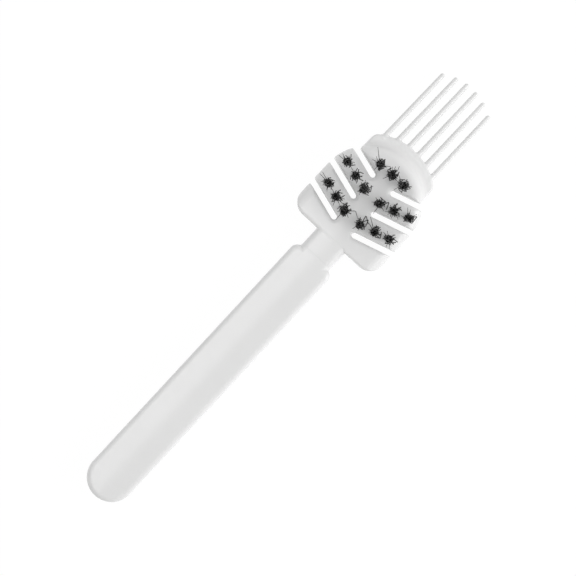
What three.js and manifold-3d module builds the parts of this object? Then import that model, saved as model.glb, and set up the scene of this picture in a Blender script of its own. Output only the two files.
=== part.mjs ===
// Hairbrush cleaning rake: one plastic moulding with a handle, a slotted pad and a rake of tines,
// and bristle tufts that are folded over anchor wires and driven into holes in the pad.
//
// Millimetres. The flat back lies on z = 0 and +Z points out of the bristled face. +Y runs from the
// handle towards the tines. The origin is on the back, halfway along the whole length.

import * as THREE from "three";
import { ConvexGeometry } from "three/addons/geometries/ConvexGeometry.js";
import { mergeVertices } from "three/addons/utils/BufferGeometryUtils.js";
import Module from "manifold-3d";

const wasm = await Module();
wasm.setup();

// Handle: a flat bar with a full round end and rounded shoulders
const handleLength = 108;
const handleWidth = 16.6;
const handleThickness = 8.8;
const handleEdgeRadius = 1.7;
const shoulderRadius = 2.7;

// Neck between the handle and the pad
const neckLength = 8;
const neckWidth = 12.5;
const neckEdgeRadius = 2.2;
const neckBackHeight = 0.9;
const neckFaceDrop = 0.1;

// Pad that carries the tufts: square at the neck, a half round at the rake
const padLength = 36.6;
const padWidth = 36.6;
const padThickness = 8.7;
const padCornerRadius = 5.3;
const padBackEdgeRadius = 1;
const padFrontEdgeWidth = 3.6;
const padBaseEdgeWidth = 1;

// Slots that run in from both sides of the pad and leave a spine down its middle
const slotCount = 3;
const slotWidth = 2.1;
const slotPitch = 9.5;
const firstSlotHeight = 5.15;
const slotAngle = THREE.MathUtils.degToRad(16.4);
const spineWidth = 7.3;

// Rake plate that steps out from the round end of the pad
const plateWidth = 27.5;
const plateReach = 4.4;
const plateThickness = 3;
const plateBackHeight = 1.4;
const plateArcRadius = 21.5;
const plateCornerRadius = 4.2;
const plateEdgeRadius = 0.9;

// Tines
const tineCount = 6;
const tinePitch = 4.2;
const tineLength = 28.3;
const tineRootDiameter = 1.8;
const tineTipDiameter = 1.6;
const tineFilletRadius = 0.5;

// Tufts: two rows on each side that follow the slots, and one row across the round end
const tuftsPerRow = 3;
const rowAboveSlot = 4.15;
const firstTuftOffset = 3.5;
const outerTuftMargin = 4.5;
const topRowHeight = 29.7;
const topRowPitch = 5.2;

// Bristles
const tuftDiameter = 2.2;
const tuftDepth = 4.6;
const bristleLength = 7;
const bristlesPerTuft = 24;
const bristleDiameter = 0.28;
const bristleSides = 3;
const bristleEmbed = 1.5;
const tuftTipDiameter = 4.2;
const leanVariation = 0.12;
const lengthVariation = 0.05;

// Anchor wires
const anchorWidth = 2.9;
const anchorHeight = 1.5;
const anchorThickness = 0.35;
const foldBelowAnchor = 0.6;

// Clearances
const tuftClearance = 0.15;
const anchorClearance = 0.1;

// Facets
const quarterSteps = 4;
const handleEndSteps = 20;
const padArcSteps = 28;
const plateArcSteps = 12;
const tineFilletSteps = 3;
const holeSides = 12;
const tineSides = 10;
const weldDistance = 1e-4;

// Places worked out from the sizes
const overallLength = handleLength + neckLength + padLength + plateReach + tineLength;
const handleEnd = -overallLength / 2;
const shoulder = handleEnd + handleLength;
const padBase = shoulder + neckLength;
const padTop = padBase + padLength;
const padArcCentre = padTop - padWidth / 2;
const plateTop = padTop + plateReach;
const plateArcCentre = plateTop - plateArcRadius;
const neckFront = Math.min(handleThickness, padThickness) - neckFaceDrop;
const plateFront = plateBackHeight + plateThickness;
const padFrontEdgeDepth = padThickness - plateFront;
const tineLevel = plateBackHeight + plateThickness / 2;
const slotSlope = Math.tan(slotAngle);
const tuftPitch = (padWidth / 2 - outerTuftMargin - firstTuftOffset) / (tuftsPerRow - 1);
const overcut = 1;

// Materials
const whitePlastic = new THREE.MeshStandardMaterial({ color: 0xe9e9e8, roughness: 0.38, metalness: 0 });
const blackNylon = new THREE.MeshStandardMaterial({ color: 0x121212, roughness: 0.45, metalness: 0 });
const anchorMetal = new THREE.MeshStandardMaterial({ color: 0xb4b2aa, roughness: 0.35, metalness: 1 });

// Points along an arc, ends included.
function arc(x, y, radius, from, to, steps) {
  return Array.from({ length: steps + 1 }, (_, i) => {
    const angle = from + ((to - from) * i) / steps;
    return new THREE.Vector2(x + radius * Math.cos(angle), y + radius * Math.sin(angle));
  });
}

// The edge of a slab as [inset, z] pairs, from a quarter round at the back to a quarter ellipse in front.
function roundedEdge(back, front, backRadius, frontWidth, frontDepth) {
  const steps = Array.from({ length: quarterSteps + 1 }, (_, i) => (i / quarterSteps) * (Math.PI / 2));
  const versine = (t) => 1 - Math.cos(t);
  const coversine = (t) => 1 - Math.sin(t);
  const backEdge = steps.map((t) => [backRadius * coversine(t), back + backRadius * versine(t)]);
  const frontEdge = steps.map((t) => [frontWidth * versine(t), front - frontDepth * coversine(t)]);
  return [...backEdge, ...frontEdge];
}

// A slab whose outline draws in as its edge asks. outline(inset) gives the same count of points each
// time, counter-clockwise seen from the front.
function slab(outline, edge) {
  const rings = edge.map(([inset]) => outline(inset));
  const count = rings[0].length;
  const positions = rings.flatMap((ring, i) => ring.flatMap((p) => [p.x, p.y, edge[i][1]]));
  const faces = [];
  for (let level = 0; level + 1 < rings.length; level++) {
    for (let i = 0; i < count; i++) {
      const low = level * count + i;
      const lowNext = level * count + ((i + 1) % count);
      faces.push(low, lowNext, lowNext + count, low, lowNext + count, low + count);
    }
  }
  const top = (rings.length - 1) * count;
  for (const [a, b, c] of THREE.ShapeUtils.triangulateShape(rings[0], [])) faces.push(a, c, b);
  for (const [a, b, c] of THREE.ShapeUtils.triangulateShape(rings.at(-1), [])) {
    faces.push(top + a, top + b, top + c);
  }
  const geometry = new THREE.BufferGeometry();
  geometry.setAttribute("position", new THREE.Float32BufferAttribute(positions, 3));
  geometry.setIndex(faces);
  return geometry;
}

// A closed geometry as a solid that can be joined and cut.
function solidOf(geometry) {
  const bare = geometry.clone();
  bare.deleteAttribute("normal");
  bare.deleteAttribute("uv");
  const merged = mergeVertices(bare, weldDistance);
  const vertProperties = new Float32Array(merged.attributes.position.array);
  const triVerts = new Uint32Array(merged.index.array);
  return new wasm.Manifold(new wasm.Mesh({ numProp: 3, vertProperties, triVerts }));
}

// A solid as a geometry that three.js can draw.
function geometryOf(solid) {
  const mesh = solid.getMesh();
  const geometry = new THREE.BufferGeometry();
  geometry.setAttribute("position", new THREE.BufferAttribute(mesh.vertProperties, 3));
  geometry.setIndex(new THREE.BufferAttribute(mesh.triVerts, 1));
  geometry.computeVertexNormals();
  return geometry;
}

const joined = (geometries) => geometries.map(solidOf).reduce((whole, piece) => whole.add(piece));

// Where each tuft stands on the pad: [row name, x, y]. The side rows count outwards from the spine and
// the top row from left to right.
function tuftPlaces() {
  const places = [];
  ["lower", "upper"].forEach((level, slot) => {
    const rowHeight = slotCrossing(slot) + rowAboveSlot;
    for (const [side, sign] of [["left", -1], ["right", 1]]) {
      for (let i = 0; i < tuftsPerRow; i++) {
        const offset = firstTuftOffset + i * tuftPitch;
        places.push([`${level}_${side}_${i + 1}`, sign * offset, rowHeight + offset * slotSlope]);
      }
    }
  });
  for (let i = 0; i < tuftsPerRow; i++) {
    places.push([`top_${i + 1}`, (i - (tuftsPerRow - 1) / 2) * topRowPitch, padBase + topRowHeight]);
  }
  return places;
}

function handle() {
  const half = handleWidth / 2;
  const cornerX = half - shoulderRadius;
  const cornerY = shoulder - shoulderRadius;
  const outline = (inset) => [
    ...arc(0, handleEnd + half, half - inset, Math.PI, 2 * Math.PI, handleEndSteps),
    ...arc(cornerX, cornerY, shoulderRadius - inset, 0, Math.PI / 2, quarterSteps),
    ...arc(-cornerX, cornerY, shoulderRadius - inset, Math.PI / 2, Math.PI, quarterSteps),
  ];
  const radius = handleEdgeRadius;
  return slab(outline, roundedEdge(0, handleThickness, radius, radius, radius));
}

// The neck runs on into the handle and the pad, past their rounded edges.
function neck() {
  const low = shoulder - shoulderRadius - neckEdgeRadius;
  const high = padBase + padFrontEdgeWidth + neckEdgeRadius;
  const outline = (inset) => {
    const half = neckWidth / 2 - inset;
    return [
      new THREE.Vector2(-half, low + inset),
      new THREE.Vector2(half, low + inset),
      new THREE.Vector2(half, high - inset),
      new THREE.Vector2(-half, high - inset),
    ];
  };
  const radius = neckEdgeRadius;
  return slab(outline, roundedEdge(neckBackHeight, neckFront, radius, radius, radius));
}

// The pad's broad front edge follows its sides and round end. It runs out at the base, whose own edge is
// narrow.
function pad() {
  const half = padWidth / 2;
  const cornerX = half - padCornerRadius;
  const cornerY = padBase + padCornerRadius;
  const outline = (inset) => {
    const baseInset = (inset * padBaseEdgeWidth) / padFrontEdgeWidth;
    const radius = padCornerRadius - baseInset;
    const turn = Math.acos((padCornerRadius - inset) / radius);
    return [
      ...arc(-cornerX, cornerY, radius, Math.PI + turn, 1.5 * Math.PI, quarterSteps),
      ...arc(cornerX, cornerY, radius, 1.5 * Math.PI, 2 * Math.PI - turn, quarterSteps),
      ...arc(0, padArcCentre, half - inset, 0, Math.PI, padArcSteps),
    ];
  };
  const edge = roundedEdge(0, padThickness, padBackEdgeRadius, padFrontEdgeWidth, padFrontEdgeDepth);
  return slab(outline, edge);
}

function rakePlate() {
  const cornerX = plateWidth / 2 - plateCornerRadius;
  const cornerRise = Math.sqrt((plateArcRadius - plateCornerRadius) ** 2 - cornerX ** 2);
  const cornerY = plateArcCentre + cornerRise;
  const turn = Math.atan2(cornerRise, cornerX);
  const outline = (inset) => [
    new THREE.Vector2(-plateWidth / 2 + inset, padArcCentre + inset),
    new THREE.Vector2(plateWidth / 2 - inset, padArcCentre + inset),
    ...arc(cornerX, cornerY, plateCornerRadius - inset, 0, turn, quarterSteps),
    ...arc(0, plateArcCentre, plateArcRadius - inset, turn, Math.PI - turn, plateArcSteps).slice(1, -1),
    ...arc(-cornerX, cornerY, plateCornerRadius - inset, Math.PI - turn, Math.PI, quarterSteps),
  ];
  const radius = plateEdgeRadius;
  return slab(outline, roundedEdge(plateBackHeight, plateFront, radius, radius, radius));
}

// A tine along +Y with a fillet at its root and a round tip. Its root reaches back into the plate.
function tine(x) {
  const rootRadius = tineRootDiameter / 2;
  const tipRadius = tineTipDiameter / 2;
  const collar = rootRadius + tineFilletRadius;
  const root = [new THREE.Vector2(0, -plateEdgeRadius - collar), new THREE.Vector2(collar, -plateEdgeRadius)];
  const fillet = arc(collar, tineFilletRadius, tineFilletRadius, 1.5 * Math.PI, Math.PI, tineFilletSteps);
  const tip = arc(0, tineLength - tipRadius, tipRadius, 0, Math.PI / 2, quarterSteps);
  tip.at(-1).x = 0;
  const plateEdge = plateArcCentre + Math.sqrt(plateArcRadius ** 2 - x ** 2);
  return new THREE.LatheGeometry([...root, ...fillet, ...tip], tineSides).translate(x, plateEdge, tineLevel);
}

// Where a slot's centre line would cross the middle of the pad.
const slotCrossing = (index) => padBase + firstSlotHeight + index * slotPitch;

// A slot with a round inner end, open past the side of the pad and past both of its faces.
function slotCutter(side, index) {
  const radius = slotWidth / 2;
  const innerX = spineWidth / 2 + radius;
  const reach = padWidth / 2 - innerX + slotWidth + overcut;
  const outline = new THREE.Shape([
    ...arc(0, 0, radius, Math.PI / 2, 1.5 * Math.PI, 2 * quarterSteps),
    new THREE.Vector2(reach / Math.cos(slotAngle), -radius),
    new THREE.Vector2(reach / Math.cos(slotAngle), radius),
  ]);
  const depth = padThickness + 2 * overcut;
  const cutter = new THREE.ExtrudeGeometry(outline, { depth, bevelEnabled: false });
  cutter.rotateZ(slotAngle).translate(innerX, slotCrossing(index) + innerX * slotSlope, -overcut);
  return side > 0 ? cutter : cutter.rotateY(Math.PI).translate(0, 0, padThickness);
}

// Cuts the round end back to the rake plate's side, from the last slot up.
function sideTrim(side) {
  const inner = plateWidth / 2;
  const width = padWidth / 2 - inner + overcut;
  const low = slotCrossing(slotCount - 1) + inner * slotSlope;
  const length = padTop - low;
  const trim = new THREE.BoxGeometry(width, length, padThickness + 2 * overcut);
  return trim.translate(side * (inner + width / 2), low + length / 2, padThickness / 2);
}

// The hole of one tuft, with the kerfs that its anchor wire bites into the wall.
function tuftHole(x, y) {
  const depth = tuftDepth + overcut;
  const radius = tuftDiameter / 2 + tuftClearance;
  const hole = new THREE.CylinderGeometry(radius, radius, depth, holeSides).rotateX(Math.PI / 2);
  hole.translate(x, y, padThickness - tuftDepth + depth / 2);
  const kerf = anchorWire(anchorClearance).translate(x, y, padThickness);
  return [hole, kerf];
}

function mouldedBody() {
  const tineXs = Array.from({ length: tineCount }, (_, i) => (i - (tineCount - 1) / 2) * tinePitch);
  const sides = [-1, 1];
  const slots = sides.flatMap((side) => Array.from({ length: slotCount }, (_, i) => slotCutter(side, i)));
  const holes = tuftPlaces().flatMap(([, x, y]) => tuftHole(x, y));
  const blank = joined([handle(), neck(), pad(), rakePlate(), ...tineXs.map(tine)]);
  const cuts = [...slots, ...sides.map(sideTrim), ...holes];
  return geometryOf(blank.subtract(joined(cuts)));
}

// A flat wire across the tuft's fold, measured down from the face of the pad.
function anchorWire(allowance) {
  const size = [anchorWidth, anchorThickness, anchorHeight].map((length) => length + 2 * allowance);
  const centre = -tuftDepth + tuftClearance + foldBelowAnchor + anchorHeight / 2;
  return new THREE.BoxGeometry(...size).translate(0, 0, centre);
}

// A straight bristle that stands in the root and leans out with its distance from the tuft's axis.
function bristle(index, turn) {
  const share = Math.sqrt((index + 0.5) / bristlesPerTuft);
  const goldenAngle = Math.PI * (3 - Math.sqrt(5));
  const angle = index * goldenAngle + turn;
  const scatter = index * index + turn;
  const rootOffset = share * (tuftDiameter - bristleDiameter) / 2;
  const tipOffset = share * (1 + leanVariation * Math.sin(scatter)) * tuftTipDiameter / 2;
  const tipHeight = bristleLength - lengthVariation * bristleLength * Math.cos(scatter) ** 2;
  const ends = [[rootOffset, -bristleEmbed], [tipOffset, tipHeight]];
  const corners = ends.flatMap(([offset, z]) => {
    const x = offset * Math.cos(angle);
    const y = offset * Math.sin(angle);
    const section = arc(x, y, bristleDiameter / 2, angle, angle + 2 * Math.PI, bristleSides).slice(1);
    return section.map((p) => new THREE.Vector3(p.x, p.y, z));
  });
  return new ConvexGeometry(corners);
}

// A tuft, measured from the face of the pad: the folded root that fills the hole, and its bristles.
function bristleTuft(turn) {
  const depth = tuftDepth - tuftClearance;
  const radius = tuftDiameter / 2;
  const root = new THREE.CylinderGeometry(radius, radius, depth, holeSides).rotateX(Math.PI / 2);
  root.translate(0, 0, -depth / 2);
  const strands = Array.from({ length: bristlesPerTuft }, (_, i) => bristle(i, turn));
  return geometryOf(joined([root, ...strands]).subtract(solidOf(anchorWire(anchorClearance))));
}

const rake = new THREE.Group();

function addPiece(name, geometry, material, x = 0, y = 0, z = 0) {
  const mesh = new THREE.Mesh(geometry, material);
  mesh.name = name;
  mesh.position.set(x, y, z);
  rake.add(mesh);
}

addPiece("moulded_body", mouldedBody(), whitePlastic);
tuftPlaces().forEach(([row, x, y], i) => {
  addPiece(`bristle_tuft_${row}`, bristleTuft(i), blackNylon, x, y, padThickness);
  addPiece(`anchor_wire_${row}`, anchorWire(0), anchorMetal, x, y, padThickness);
});

export default rake;
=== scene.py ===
# Looks of the hairbrush cleaning rake: a soft-edged white moulding, black nylon tufts folded under their
# anchor wires, and a white studio with its key light on the right of the pad.
# Metres. +Z points out of the bristled face and +Y runs from the handle to the tines.

import math
import random

import bpy
import numpy as np
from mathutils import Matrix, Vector


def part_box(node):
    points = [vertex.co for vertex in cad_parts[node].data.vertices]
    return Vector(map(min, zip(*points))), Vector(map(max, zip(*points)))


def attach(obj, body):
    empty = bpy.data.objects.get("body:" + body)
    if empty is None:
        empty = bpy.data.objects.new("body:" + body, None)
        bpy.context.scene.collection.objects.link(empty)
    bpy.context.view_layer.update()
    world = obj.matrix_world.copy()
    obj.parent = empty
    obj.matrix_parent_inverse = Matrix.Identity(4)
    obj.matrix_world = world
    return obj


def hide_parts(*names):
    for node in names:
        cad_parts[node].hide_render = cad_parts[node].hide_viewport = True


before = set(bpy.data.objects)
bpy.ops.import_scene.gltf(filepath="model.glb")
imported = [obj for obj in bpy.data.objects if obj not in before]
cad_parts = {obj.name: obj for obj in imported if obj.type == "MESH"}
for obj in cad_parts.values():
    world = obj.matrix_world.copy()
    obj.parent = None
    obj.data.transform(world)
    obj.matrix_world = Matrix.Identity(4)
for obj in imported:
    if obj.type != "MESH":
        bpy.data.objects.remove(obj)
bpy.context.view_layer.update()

MM = 0.001

# Handle and neck
HANDLE_LENGTH = 108 * MM
HANDLE_WIDTH = 16.6 * MM
HANDLE_EDGE_RADIUS = 1.7 * MM
SHOULDER_RADIUS = 2.7 * MM
NECK_LENGTH = 8 * MM
NECK_WIDTH = 12.5 * MM
NECK_BACK = 0.9 * MM
NECK_EDGE_RADIUS = 2.2 * MM

# Pad, with pairs of sloping slots beside its spine
PAD_LENGTH = 36.6 * MM
PAD_FRONT = 8.7 * MM
PAD_CORNER_RADIUS = 5.3 * MM
PAD_BACK_RADIUS = 1 * MM
PAD_FRONT_RADIUS = 3.6 * MM
PAD_BASE_RADIUS = 1 * MM
SLOT_COUNT = 3
SLOT_WIDTH = 2.1 * MM
SLOT_PITCH = 9.5 * MM
FIRST_SLOT_HEIGHT = 5.15 * MM
SLOT_SLOPE = math.tan(math.radians(16.4))
SPINE_WIDTH = 7.3 * MM

# Rake plate and tines. Each tip leans a little to the right, and the tips lie on a rounder arc than the
# roots, so that the middle tines are longer by nearly TINE_TIP_CROWN.
PLATE_WIDTH = 27.5 * MM
PLATE_REACH = 4.4 * MM
PLATE_BACK = 1.4 * MM
PLATE_FRONT = 4.4 * MM
PLATE_ARC_RADIUS = 21.5 * MM
PLATE_CORNER_BLEND = 1.5 * MM
PLATE_EDGE_RADIUS = 0.9 * MM
TINE_PITCH = 4.2 * MM
TINE_LENGTH = 28.3 * MM
TINE_ROOT_RADIUS = 0.9 * MM
TINE_TIP_RADIUS = 0.8 * MM
TINE_TIP_CROWN = 0.45 * MM
TINE_BENDS = [0.4 * MM, 0.4 * MM, 0.25 * MM, 0.2 * MM, 0.15 * MM, 0.15 * MM]
TINE_COUNT = len(TINE_BENDS)

# Tuft holes and the kerfs of their anchor wires
HOLE_RADIUS = 1.25 * MM
HOLE_DEPTH = 4.6 * MM
KERF_CLEARANCE = 0.1 * MM

# The handle, neck and pad share one face, a shallow valley along the centre line with a fine seam across
# it at each end of the neck. The rake plate is slightly crowned.
FACE_SLOPE = math.tan(math.radians(2.5))
VALLEY_RADIUS = 2 * MM
SEAM_DEPTH = 0.06 * MM
SEAM_WIDTH = 0.35 * MM
SEAM_OFFSET = 0.6 * MM
PLATE_CROWN = 0.5 * MM

# Soft radii where the mould's surfaces meet. The neck's crease fades towards the common face and the
# plate's towards the back, down to a least share, so that these faces don't swell.
NECK_CREASE = 0.6 * MM
PLATE_CREASE = 3.0 * MM
LEAST_CREASE_SHARE = 0.01
TINE_FILLET = 0.8 * MM
SLOT_EDGE = 0.6 * MM
SLOT_FLARE = 0.9 * MM
HOLE_LIP = 0.3 * MM

# Grid that the moulding is meshed on, coarser along the straight handle and tines
GRID_FINE = 0.26 * MM
GRID_ON_TINES = 0.4 * MM
GRID_ON_HANDLE = 1 * MM
GRID_MARGIN = 0.6 * MM
TIP_ZONE = 2 * MM

# Places worked out from the part's solids
body_low, body_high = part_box("moulded_body")
HANDLE_END = body_low.y
HANDLE_FRONT = body_high.z
PAD_HALF = body_high.x
SHOULDER = HANDLE_END + HANDLE_LENGTH
PAD_BASE = SHOULDER + NECK_LENGTH
PAD_TOP = PAD_BASE + PAD_LENGTH
PAD_ARC_CENTRE = PAD_TOP - PAD_HALF
PLATE_TOP = PAD_TOP + PLATE_REACH
PLATE_ARC_CENTRE = PLATE_TOP - PLATE_ARC_RADIUS
TINE_LEVEL = (PLATE_BACK + PLATE_FRONT) / 2
ROWS = sorted(n.removeprefix("anchor_wire_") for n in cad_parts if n.startswith("anchor_wire_"))


def anchor_box(row):
    """Centre and half size of a row's anchor wire."""
    low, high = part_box(f"anchor_wire_{row}")
    return (low + high) / 2, (high - low) / 2


# Distance fields: negative inside, positive outside

def smooth_min(a, b, k):
    h = np.maximum(k - np.abs(a - b), 0) / k
    return np.minimum(a, b) - h * h * k / 4


def smooth_cut(solid, cutter, k):
    return -smooth_min(-solid, cutter, k)


def round_corner(a, b, radius):
    """Inside both a and b, with the corner between them rounded."""
    a = a + radius
    b = b + radius
    return np.hypot(np.maximum(a, 0), np.maximum(b, 0)) + np.minimum(np.maximum(a, b), 0) - radius


def slab(outline, z, back, front, back_radius, front_radius):
    front_side = round_corner(outline, z - front, front_radius)
    back_side = round_corner(outline, back - z, back_radius)
    return np.maximum(front_side, back_side)


def seam(y, end):
    """How deep a seam near one end of the neck is at y, as a share of its full depth."""
    return np.exp(-(((y - end - SEAM_OFFSET) / SEAM_WIDTH) ** 2))


def face_level(x, y):
    """Height of the common face of the handle, neck and pad."""
    rise = FACE_SLOPE * (np.sqrt(x**2 + VALLEY_RADIUS**2) - HANDLE_WIDTH / 2)
    return HANDLE_FRONT + rise - SEAM_DEPTH * (seam(y, SHOULDER) + seam(y, PAD_BASE))


def handle_field(x, y, z):
    half = HANDLE_WIDTH / 2
    bar = np.hypot(x, np.minimum(y - HANDLE_END - half, 0)) - half
    outline = round_corner(bar, y - SHOULDER, SHOULDER_RADIUS)
    return slab(outline, z, 0, face_level(x, y), HANDLE_EDGE_RADIUS, HANDLE_EDGE_RADIUS)


def neck_field(x, y, z):
    """The neck, which runs half its length into the handle and into the pad."""
    middle = SHOULDER + NECK_LENGTH / 2
    outline = np.maximum(np.abs(x) - NECK_WIDTH / 2, np.abs(y - middle) - NECK_LENGTH)
    return slab(outline, z, NECK_BACK, face_level(x, y), NECK_EDGE_RADIUS, NECK_EDGE_RADIUS)


def pad_field(x, y, z):
    arch = np.hypot(x, np.maximum(y - PAD_ARC_CENTRE, 0)) - PAD_HALF
    outline = round_corner(arch, PAD_BASE - y, PAD_CORNER_RADIUS)
    front = face_level(x, y)
    broad_edge = round_corner(arch, z - front, PAD_FRONT_RADIUS)
    return np.maximum(broad_edge, slab(outline, z, 0, front, PAD_BACK_RADIUS, PAD_BASE_RADIUS))


def plate_field(x, y, z):
    arc = np.hypot(x, y - PLATE_ARC_CENTRE) - PLATE_ARC_RADIUS
    outline = round_corner(np.abs(x) - PLATE_WIDTH / 2, arc, PLATE_CORNER_BLEND)
    outline = np.maximum(outline, PAD_ARC_CENTRE - y)
    front = PLATE_FRONT - PLATE_CROWN * (x / (PLATE_WIDTH / 2)) ** 2
    return slab(outline, z, PLATE_BACK, front, PLATE_EDGE_RADIUS, PLATE_EDGE_RADIUS)


def tine_field(x, y, z, index):
    from_middle = index - (TINE_COUNT - 1) / 2
    root_x = from_middle * TINE_PITCH
    root_y = PLATE_ARC_CENTRE + math.sqrt(PLATE_ARC_RADIUS**2 - root_x**2)
    length = TINE_LENGTH + TINE_TIP_CROWN * (1 - (from_middle / (TINE_COUNT / 2)) ** 2)
    share = np.clip((y - root_y) / length, 0, 1)
    radius = TINE_ROOT_RADIUS + (TINE_TIP_RADIUS - TINE_ROOT_RADIUS) * share
    across = x - root_x - TINE_BENDS[index] * share
    past_tip = np.maximum(y - (root_y + length - TINE_TIP_RADIUS), 0)
    rod = np.sqrt(across**2 + (z - TINE_LEVEL) ** 2 + past_tip**2) - radius
    return np.maximum(rod, root_y - PLATE_EDGE_RADIUS - y)


def slot_field(x, y, z, index):
    """One pair of slots, left and right, through the pad, with their front edges rounded off."""
    radius = SLOT_WIDTH / 2
    into_flare = np.clip(z - face_level(x, y) + SLOT_FLARE, 0, SLOT_FLARE)
    flare = SLOT_FLARE - np.sqrt(SLOT_FLARE**2 - into_flare**2)
    inner = SPINE_WIDTH / 2 + radius
    along_x = 1 / math.hypot(1, SLOT_SLOPE)
    along_y = SLOT_SLOPE * along_x
    from_x = np.abs(x) - inner
    from_y = y - (PAD_BASE + FIRST_SLOT_HEIGHT + index * SLOT_PITCH + inner * SLOT_SLOPE)
    along = np.maximum(from_x * along_x + from_y * along_y, 0)
    return np.hypot(from_x - along * along_x, from_y - along * along_y) - radius - flare


def trim_field(x, y):
    """What the round end loses outside the rake plate's sides, from the last slot up."""
    side = PLATE_WIDTH / 2 - np.abs(x)
    low = PAD_BASE + FIRST_SLOT_HEIGHT + (SLOT_COUNT - 1) * SLOT_PITCH + PLATE_WIDTH / 2 * SLOT_SLOPE
    return np.maximum(side, low - y)


def hole_field(x, y, z, row):
    """A tuft's blind hole and the kerfs of its anchor wire."""
    centre, half = anchor_box(row)
    bore = np.hypot(x - centre.x, y - centre.y) - HOLE_RADIUS
    hole = np.maximum(bore, PAD_FRONT - HOLE_DEPTH - z)
    kerf_x = np.abs(x - centre.x) - half.x - KERF_CLEARANCE
    kerf_y = np.abs(y - centre.y) - half.y - KERF_CLEARANCE
    kerf_z = np.abs(z - centre.z) - half.z - KERF_CLEARANCE
    return np.minimum(hole, np.maximum(np.maximum(kerf_x, kerf_y), kerf_z))


def body_field(x, y, z):
    below_face = np.clip((face_level(x, y) - z) / NECK_EDGE_RADIUS, LEAST_CREASE_SHARE, 1)
    above_back = np.clip(z / PLATE_FRONT, LEAST_CREASE_SHARE, 1)
    grip = smooth_min(handle_field(x, y, z), neck_field(x, y, z), NECK_CREASE * below_face)
    head = smooth_min(pad_field(x, y, z), plate_field(x, y, z), PLATE_CREASE * above_back)
    for index in range(TINE_COUNT):
        head = smooth_min(head, tine_field(x, y, z, index), TINE_FILLET)
    for index in range(SLOT_COUNT):
        head = smooth_cut(head, slot_field(x, y, z, index), SLOT_EDGE)
    head = smooth_cut(head, trim_field(x, y), SLOT_EDGE)
    solid = smooth_min(grip, head, NECK_CREASE * below_face)
    for row in ROWS:
        solid = smooth_cut(solid, hole_field(x, y, z, row), HOLE_LIP)
    return solid


# Meshing of a distance field

def steps(*stops):
    """Grid lines through (start, spacing) stops; the last stop's start is the end."""
    lines = []
    for (start, spacing), (end, _) in zip(stops, stops[1:]):
        count = max(1, round((end - start) / spacing))
        lines.extend(start + (end - start) * i / count for i in range(count))
    return np.array([*lines, stops[-1][0]])


def surface_net(field, xs, ys, zs):
    """Vertices and quads of the field's zero surface, one vertex in each grid cell that it crosses."""
    axes = (xs, ys, zs)
    values = field(xs[:, None, None], ys[None, :, None], zs[None, None, :])
    cells = tuple(len(a) - 1 for a in axes)
    total = np.zeros((math.prod(cells), 3))
    count = np.zeros(math.prod(cells))
    quads = []
    for axis in range(3):
        u = (axis + 1) % 3
        v = (axis + 2) % 3
        moved = np.moveaxis(values, (axis, u, v), (0, 1, 2))
        start = moved[:-1, 1:-1, 1:-1]
        end = moved[1:, 1:-1, 1:-1]
        i, j, k = np.nonzero((start < 0) != (end < 0))
        from_start = start[i, j, k]
        from_end = end[i, j, k]
        share = from_start / (from_start - from_end)
        point = np.zeros((len(i), 3))
        point[:, axis] = axes[axis][i] + (axes[axis][i + 1] - axes[axis][i]) * share
        point[:, u] = axes[u][j + 1]
        point[:, v] = axes[v][k + 1]
        corners = []
        for du, dv in ((0, 0), (1, 0), (1, 1), (0, 1)):
            place = np.zeros((3, len(i)), int)
            place[axis] = i
            place[u] = j + du
            place[v] = k + dv
            cell = np.ravel_multi_index(tuple(place), cells)
            np.add.at(total, cell, point)
            np.add.at(count, cell, 1)
            corners.append(cell)
        quad = np.stack(corners, 1)
        quads.append(np.where((from_start < 0)[:, None], quad, quad[:, ::-1]))
    used = np.nonzero(count)[0]
    index = np.full(len(count), -1)
    index[used] = np.arange(len(used))
    return total[used] / count[used][:, None], index[np.concatenate(quads)]


def field_slope(field, points, reach=0.02 * MM):
    slope = np.empty_like(points)
    for axis in range(3):
        shift = np.zeros(3)
        shift[axis] = reach
        slope[:, axis] = (field(*(points + shift).T) - field(*(points - shift).T)) / (2 * reach)
    return slope


def settle(field, points, rounds=3, least_slope=0.45):
    """Moves points along the field's slope onto its zero surface."""
    for _ in range(rounds):
        slope = field_slope(field, points)
        size = np.maximum((slope**2).sum(1), least_slope**2)
        points = points - slope * (field(*points.T) / size)[:, None]
    return points


def add_piece(name, points, faces, material, slot, *nodes):
    """A smooth-shaded mesh that rides on the part and stands for the named nodes."""
    mesh = bpy.data.meshes.new(name)
    mesh.from_pydata(points, [], faces)
    mesh.update()
    mesh.shade_smooth()
    mesh.materials.append(material)
    piece = bpy.data.objects.new(name, mesh)
    bpy.context.scene.collection.objects.link(piece)
    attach(piece, "root")
    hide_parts(*nodes)
    return piece


def moulded_body(material):
    xs = steps((-PAD_HALF - GRID_MARGIN, GRID_FINE), (PAD_HALF + GRID_MARGIN, GRID_FINE))
    zs = steps((-GRID_MARGIN, GRID_FINE), (HANDLE_FRONT + GRID_MARGIN, GRID_FINE))
    ys = steps(
        (HANDLE_END - GRID_MARGIN, GRID_FINE),
        (HANDLE_END + HANDLE_WIDTH / 2, GRID_ON_HANDLE),
        (SHOULDER - SHOULDER_RADIUS - GRID_MARGIN, GRID_FINE),
        (PLATE_TOP + TINE_FILLET, GRID_ON_TINES),
        (body_high.y - TIP_ZONE, GRID_FINE),
        (body_high.y + TINE_TIP_CROWN + GRID_MARGIN, GRID_FINE),
    )
    points, quads = surface_net(body_field, xs, ys, zs)
    points = settle(body_field, points)
    normals = field_slope(body_field, points)
    normals /= np.linalg.norm(normals, axis=1)[:, None]
    points = points.tolist()
    quads = quads.tolist()
    piece = add_piece("moulding", points, quads, material, "white_plastic", "moulded_body")
    piece.data.normals_split_custom_set_from_vertices(normals.tolist())


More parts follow.
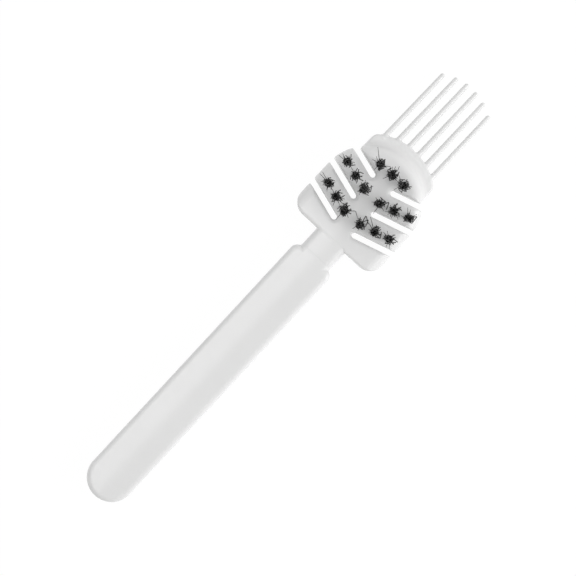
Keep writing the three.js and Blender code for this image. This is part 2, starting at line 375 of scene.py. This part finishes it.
# Bristles
BRISTLE_RADIUS = 0.15 * MM
STRAY_TIP_RADIUS = 0.07 * MM
BRISTLE_LENGTH = 7 * MM
SHORTEST_SHARE = 0.92
BRISTLE_SIDES = 8
STRAND_STATIONS = 14

# Filaments lie side by side in rows beside the anchor wire: distance from the wire and number in the row
FILAMENT_PITCH = 0.3 * MM
FILAMENT_ROWS = [(0.15 * MM, 7), (0.45 * MM, 6), (0.75 * MM, 4)]

# The turn under the wire: half its width, its drop, and how much both grow with the distance from the wire
FOLD_RADIUS = 0.32 * MM
FOLD_DROP = 0.25 * MM
FOLD_WIDENING = 0.3
FOLD_DEEPENING = 0.15

# Tips spread round the tuft's leaning axis, and each keeps BASE_SHARE of its base's offset. A RIM_POWER
# under a half crowds the tips towards the rim.
TUFT_SPREAD = 2.05 * MM
TUFT_LEAN = np.array([0.3, 0]) * MM
BASE_SHARE = 0.8
RIM_POWER = 0.4

# Seen from above, a strand bows sideways by about BOW_SHARE of its way. A STRAND_BEND over one keeps it
# upright at its base and bends it further up.
BOW_SHARE = 0.5
STRAND_BEND = 1.6

# A direction that no strand starts along, which sets where the rings of its tube begin
RING_START = (0.3, 0.9, 0.2)

# Tips of the strands that stray from their tuft, across and along the tool in mm from the tuft's axis
STRAYS = {
    "top_1": [(-4.4, 3.4), (-2.7, 0.7), (-3.2, -0.9), (-0.2, -2.9), (2.9, 1.3)],
    "top_2": [(-1.2, -3.2), (-1.6, 1.8), (-0.9, 2.6), (-2.3, 1.4), (1.2, -1.9), (1.9, -1.1)],
    "top_3": [(-3.5, 1.3), (-1.3, -3.3), (1.9, -1.5), (1.1, -2), (-0.5, 1.7), (1.2, 1.4)],
    "upper_left_1": [(-1.7, 2.4), (-2.3, 1), (1.6, 2.6), (0, -2.5), (2, 0.4)],
    "upper_left_2": [(-1.2, -1.5), (1.4, -1.6), (2, 0.9), (-2.2, 0.7)],
    "upper_left_3": [(-3.4, -0.6), (-2.9, 0.7), (2, 1.2), (3, -1), (-0.8, 1.6), (0.4, -2.1)],
    "lower_left_1": [(-1.5, -2), (0, -4.3), (1.1, -2.3), (2.6, -1.1)],
    "lower_left_2": [(3, -1.5), (3.6, -0.5), (-0.5, 2.5), (-2.8, 0.8), (2.6, 1.1), (-1, -2), (1.3, -3.1)],
    "lower_left_3": [(-3.9, 0.2), (-3.6, 1.2), (-2, -1.5), (-0.8, -2.1), (1.8, -2.5), (1.7, 1.6)],
    "upper_right_1": [(0.7, -3.9), (2.8, -1), (-2.3, -1.5), (-2.2, 0.5), (0.9, 1.7)],
    "upper_right_2": [(-2, -2.4), (-0.7, -2.6), (1, -2.6), (2.9, -1.3), (-2.1, 0.4), (1.4, 1.9)],
    "upper_right_3": [(-2.5, 2.2), (-1.3, 2.3), (1.2, 2.6), (1.6, 1.8), (-2.4, -1.3), (-0.4, -2.3)],
    "lower_right_1": [(-0.9, -2.9), (-2, -0.8), (0.8, -2), (1.9, -0.8), (1.6, 1.3)],
    "lower_right_2": [(-4.3, 2.6), (-3.5, 0.8), (-2.1, -0.9), (-1.2, -1.8), (0.8, -1.9)],
    "lower_right_3": [(-2.9, 0.3), (-2.2, 1.4), (1.1, -2.8), (2.3, -2.5), (2.1, -0.2)],
}

# Strays with a kink: its place and the tip's
KINKED_STRAYS = {
    "lower_left_1": [[(2.9, 2.3), (5.2, 0.8)]],
    "top_2": [[(0.5, 2.2), (0, 3.5)]],
}


def tube(path, radii, sides):
    """Vertices and faces of a round tube with closed ends along a path."""
    path = np.asarray(path, float)
    tangents = np.gradient(path, axis=0)
    tangents /= np.linalg.norm(tangents, axis=1)[:, None]
    side = np.cross(tangents[0], RING_START)
    points = []
    for place, along, radius in zip(path, tangents, radii):
        side = side - along * (side @ along)
        side /= np.linalg.norm(side)
        other = np.cross(along, side)
        for i in range(sides):
            angle = 2 * math.pi * i / sides
            points.append(place + radius * (math.cos(angle) * side + math.sin(angle) * other))
    faces = []
    for ring in range(len(path) - 1):
        for i in range(sides):
            a = ring * sides + i
            b = ring * sides + (i + 1) % sides
            faces.append((a, b, b + sides, a + sides))
    faces.append(tuple(range(sides))[::-1])
    faces.append(tuple(range(len(points) - sides, len(points))))
    return points, faces


def filament_bases():
    """Where each filament's two ends leave the hole, one on each side of the anchor wire."""
    bases = []
    for from_wire, count in FILAMENT_ROWS:
        for i in range(count):
            across = (i - (count - 1) / 2) * FILAMENT_PITCH
            bases.append((across, from_wire))
            bases.append((across, -from_wire))
    return bases


def spread_route(rng, base):
    """An ordinary strand's bowed way, seen from above, to a tip somewhere over the tuft."""
    angle = rng.uniform(0, 2 * math.pi)
    reach = TUFT_SPREAD * rng.random() ** RIM_POWER
    base = np.array(base)
    tip = base * BASE_SHARE + TUFT_LEAN + reach * np.array([math.cos(angle), math.sin(angle)])
    way = tip - base
    bow = np.array([-way[1], way[0]]) * rng.gauss(0, BOW_SHARE)
    middle = (base + tip) / 2 + bow
    return [base, middle, tip]


def strand_path(rng, route, start_z):
    """From the anchor wire's level up through the pad's face to the tip, along a route seen from above."""
    route = np.array(route)
    stretches = np.linalg.norm(np.diff(route, axis=0), axis=1)
    travelled = np.concatenate([[0], np.cumsum(stretches)])
    length = BRISTLE_LENGTH * rng.uniform(SHORTEST_SHARE, 1)
    height = math.sqrt(length**2 - travelled[-1] ** 2)
    path = [(*route[0], start_z)]
    for t in np.linspace(0, 1, STRAND_STATIONS):
        gone = travelled[-1] * t**STRAND_BEND
        x = np.interp(gone, travelled, route[:, 0])
        y = np.interp(gone, travelled, route[:, 1])
        path.append((x, y, PAD_FRONT + height * t - HOLE_LIP * (1 - t)))
    return path


def strand_radii(tip_radius):
    """Radii along a strand, from the anchor wire's level to its tip."""
    to_tip = np.linspace(0, 1, STRAND_STATIONS + 1)
    return BRISTLE_RADIUS + (tip_radius - BRISTLE_RADIUS) * to_tip


def tuft_strands(rng, row):
    """Route and tip radius of every strand of a tuft. A stray takes the free base nearest to its side."""
    bases = filament_bases()
    strands = [None] * len(bases)
    for stray in [[tip] for tip in STRAYS[row]] + KINKED_STRAYS.get(row, []):
        points = [(x * MM, y * MM) for x, y in stray]
        free = [i for i, strand in enumerate(strands) if strand is None]
        nearest = min(free, key=lambda i: math.dist(bases[i], points[0]))
        strands[nearest] = ([bases[nearest], *points], STRAY_TIP_RADIUS)
    return [strand or (spread_route(rng, base), BRISTLE_RADIUS) for strand, base in zip(strands, bases)]


def filament(rng, strand, other_strand, wire_level, fold_level):
    """Path and radii of one filament, from one strand's tip through the fold to the other strand's tip."""
    route, tip_radius = strand
    other_route, other_tip_radius = other_strand
    across, from_wire = route[0]
    half_width = FOLD_RADIUS + FOLD_WIDENING * from_wire
    drop = FOLD_DROP + FOLD_DEEPENING * from_wire
    fold = [
        (across, half_width, fold_level),
        (across, 0, fold_level - drop),
        (across, -half_width, fold_level),
    ]
    down = strand_path(rng, route, wire_level)[::-1]
    up = strand_path(rng, other_route, wire_level)
    down_radii = strand_radii(tip_radius)[::-1]
    up_radii = strand_radii(other_tip_radius)
    return [*down, *fold, *up], [*down_radii, *[BRISTLE_RADIUS] * len(fold), *up_radii]


def tuft(row, material):
    """Filaments folded under the anchor wire, both of whose ends stand up from the hole."""
    rng = random.Random(row)
    centre, half = anchor_box(row)
    axis = np.array([centre.x, centre.y, 0])
    strands = tuft_strands(rng, row)
    points = []
    faces = []
    for strand, other_strand in zip(strands[0::2], strands[1::2]):
        path, radii = filament(rng, strand, other_strand, centre.z, centre.z - half.z)
        new_points, new_faces = tube(path, radii, BRISTLE_SIDES)
        faces.extend(tuple(len(points) + i for i in face) for face in new_faces)
        points.extend((axis + point).tolist() for point in new_points)
    add_piece(f"bristles_{row}", points, faces, material, "black_nylon", f"bristle_tuft_{row}")


# Materials

def new_material(name):
    material = bpy.data.materials.new(name)
    material.use_nodes = True
    nodes = material.node_tree.nodes
    return material, nodes, material.node_tree.links, nodes["Principled BSDF"]


def noise(nodes, links, place, scale, detail=4.0):
    node = nodes.new("ShaderNodeTexNoise")
    node.inputs["Scale"].default_value = scale
    node.inputs["Detail"].default_value = detail
    links.new(place, node.inputs["Vector"])
    return node.outputs["Fac"]


def ramp(nodes, links, factor, low, high, start=0.3, end=0.7):
    """Colour that goes from low to high as the factor goes from start to end."""
    node = nodes.new("ShaderNodeValToRGB")
    node.color_ramp.elements[0].position = start
    node.color_ramp.elements[1].position = end
    node.color_ramp.elements[0].color = (*low, 1)
    node.color_ramp.elements[1].color = (*high, 1)
    links.new(factor, node.inputs["Fac"])
    return node.outputs["Color"]


def grey(level):
    return (level, level, level)


def white_plastic():
    """Satin white, with slight clouds in its colour and gloss and a very fine grain."""
    material, nodes, links, shader = new_material("white_plastic")
    place = nodes.new("ShaderNodeTexCoord").outputs["Object"]
    clouds = noise(nodes, links, place, scale=60)
    colour = ramp(nodes, links, clouds, low=(0.865, 0.865, 0.862), high=(0.89, 0.89, 0.888))
    links.new(colour, shader.inputs["Base Color"])
    patches = noise(nodes, links, place, scale=180)
    links.new(ramp(nodes, links, patches, low=grey(0.19), high=grey(0.21)), shader.inputs["Roughness"])
    grain = nodes.new("ShaderNodeBump")
    grain.inputs["Strength"].default_value = 0.06
    grain.inputs["Distance"].default_value = 0.05 * MM
    links.new(noise(nodes, links, place, scale=2500, detail=2.0), grain.inputs["Height"])
    links.new(grain.outputs["Normal"], shader.inputs["Normal"])
    shader.inputs["IOR"].default_value = 1.49
    shader.inputs["Subsurface Weight"].default_value = 0.12
    shader.inputs["Subsurface Radius"].default_value = (1, 1, 1)
    shader.inputs["Subsurface Scale"].default_value = 1.5 * MM
    return material


def black_nylon():
    """Glossy black, with paler streaks drawn out along the upright strands: painted sheen that stands in
    for light glancing off the strands' sides.
    """
    material, nodes, links, shader = new_material("black_nylon")
    drawn = nodes.new("ShaderNodeMapping")
    drawn.inputs["Scale"].default_value = (1, 1, 0.06)
    links.new(nodes.new("ShaderNodeTexCoord").outputs["Object"], drawn.inputs["Vector"])
    streaks = noise(nodes, links, drawn.outputs["Vector"], scale=2600)
    # The paler streaks in the base colour are painted sheen, standing in for light caught on the strands'
    # sides; the near-black between them is the nylon's own colour.
    colour_with_painted_sheen = ramp(nodes, links, streaks, low=grey(0.002), high=grey(0.1), start=0.46, end=0.64)
    links.new(colour_with_painted_sheen, shader.inputs["Base Color"])
    links.new(ramp(nodes, links, streaks, low=grey(0.16), high=grey(0.24)), shader.inputs["Roughness"])
    shader.inputs["IOR"].default_value = 1.53
    return material


def anchor_metal():
    """Pale wire, unevenly bright."""
    material, nodes, links, shader = new_material("anchor_metal")
    place = nodes.new("ShaderNodeTexCoord").outputs["Object"]
    marks = noise(nodes, links, place, scale=1500)
    colour = ramp(nodes, links, marks, low=(0.55, 0.54, 0.5), high=(0.7, 0.69, 0.65))
    links.new(colour, shader.inputs["Base Color"])
    links.new(ramp(nodes, links, marks, low=grey(0.25), high=grey(0.4)), shader.inputs["Roughness"])
    shader.inputs["Metallic"].default_value = 1
    return material


# Stage: the glow and the lit floor together come to white, and the floor's own share keeps the shadow
FLOOR_HALF = 1.5
FLOOR_DROP = 0.05 * MM
FLOOR_GLOW_SHARE = 0.95
FLOOR_GLOW_STRENGTH = 1.02

# Camera, straight above the tool and turned so that the tool lies across the picture
CAMERA_LENS = 200
CAMERA_SENSOR = 36
CAMERA_FIELD = 192 * MM
CAMERA_FIELD_LEVEL = 8 * MM
CAMERA_X = 0.27 * MM
CAMERA_Y = 1.95 * MM
CAMERA_TURN = math.radians(42.8)


def larger(nodes, links, first, second):
    node = nodes.new("ShaderNodeMath")
    node.operation = "MAXIMUM"
    links.new(first, node.inputs[0])
    links.new(second, node.inputs[1])
    return node.outputs[0]


def floor_white():
    """White that glows only where it is looked at, directly, in a reflection or through something."""
    material, nodes, links, shader = new_material("floor_white")
    shader.inputs["Base Color"].default_value = (*grey(0.9), 1)
    shader.inputs["Roughness"].default_value = 0.9
    rays = nodes.new("ShaderNodeLightPath").outputs
    seen = larger(nodes, links, rays["Is Camera Ray"], rays["Is Glossy Ray"])
    seen = larger(nodes, links, seen, rays["Is Transmission Ray"])
    share = nodes.new("ShaderNodeMath")
    share.operation = "MULTIPLY"
    share.inputs[1].default_value = FLOOR_GLOW_SHARE
    links.new(seen, share.inputs[0])
    glow = nodes.new("ShaderNodeEmission")
    glow.inputs["Strength"].default_value = FLOOR_GLOW_STRENGTH
    mix = nodes.new("ShaderNodeMixShader")
    links.new(share.outputs[0], mix.inputs["Fac"])
    links.new(shader.outputs["BSDF"], mix.inputs[1])
    links.new(glow.outputs["Emission"], mix.inputs[2])
    links.new(mix.outputs["Shader"], nodes["Material Output"].inputs["Surface"])
    return material


def floor(material):
    corners = [(x * FLOOR_HALF, y * FLOOR_HALF, 0) for x, y in ((-1, -1), (1, -1), (1, 1), (-1, 1))]
    mesh = bpy.data.meshes.new("floor")
    mesh.from_pydata(corners, [], [(0, 1, 2, 3)])
    mesh.materials.append(material)
    piece = bpy.data.objects.new("floor", mesh)
    piece.location.z = -FLOOR_DROP
    bpy.context.scene.collection.objects.link(piece)


def area_light(name, place, aim, size, power):
    light = bpy.data.lights.new(name, "AREA")
    light.shape = "RECTANGLE"
    light.size, light.size_y = size
    light.energy = power
    lamp = bpy.data.objects.new(name, light)
    lamp.location = place
    direction = Vector(aim) - Vector(place)
    lamp.rotation_euler = direction.to_track_quat("-Z", "Y").to_euler()
    bpy.context.scene.collection.objects.link(lamp)


def world_light(strength):
    world = bpy.data.worlds.new("studio")
    world.use_nodes = True
    background = world.node_tree.nodes["Background"]
    background.inputs["Color"].default_value = (1, 1, 1, 1)
    background.inputs["Strength"].default_value = strength
    bpy.context.scene.world = world


def camera():
    data = bpy.data.cameras.new("camera")
    data.lens = CAMERA_LENS
    data.sensor_width = CAMERA_SENSOR
    distance = CAMERA_FIELD * CAMERA_LENS / CAMERA_SENSOR
    cam = bpy.data.objects.new("camera", data)
    cam.location = (CAMERA_X, CAMERA_Y, CAMERA_FIELD_LEVEL + distance)
    cam.rotation_euler = (0, 0, CAMERA_TURN)
    bpy.context.scene.collection.objects.link(cam)
    bpy.context.scene.camera = cam


camera()
plastic = white_plastic()
nylon = black_nylon()
metal = anchor_metal()
moulded_body(plastic)
for row in ROWS:
    tuft(row, nylon)
    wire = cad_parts[f"anchor_wire_{row}"]
    wire.data.materials.clear()
    wire.data.materials.append(metal)
floor(floor_white())
world_light(strength=0.54)
area_light("key", place=(0.82, 0.38, 0.4), aim=(0, 0, 0), size=(0.6, 0.8), power=4.7)
area_light("overhead", place=(0.13, 0, 1.5), aim=(0.13, 0, 0), size=(0.23, 0.6), power=1.1)
area_light("fill", place=(-0.75, 0, 1.25), aim=(0, 0, 0), size=(1.2, 1.2), power=2.6)
bpy.context.scene.view_settings.view_transform = "Standard"
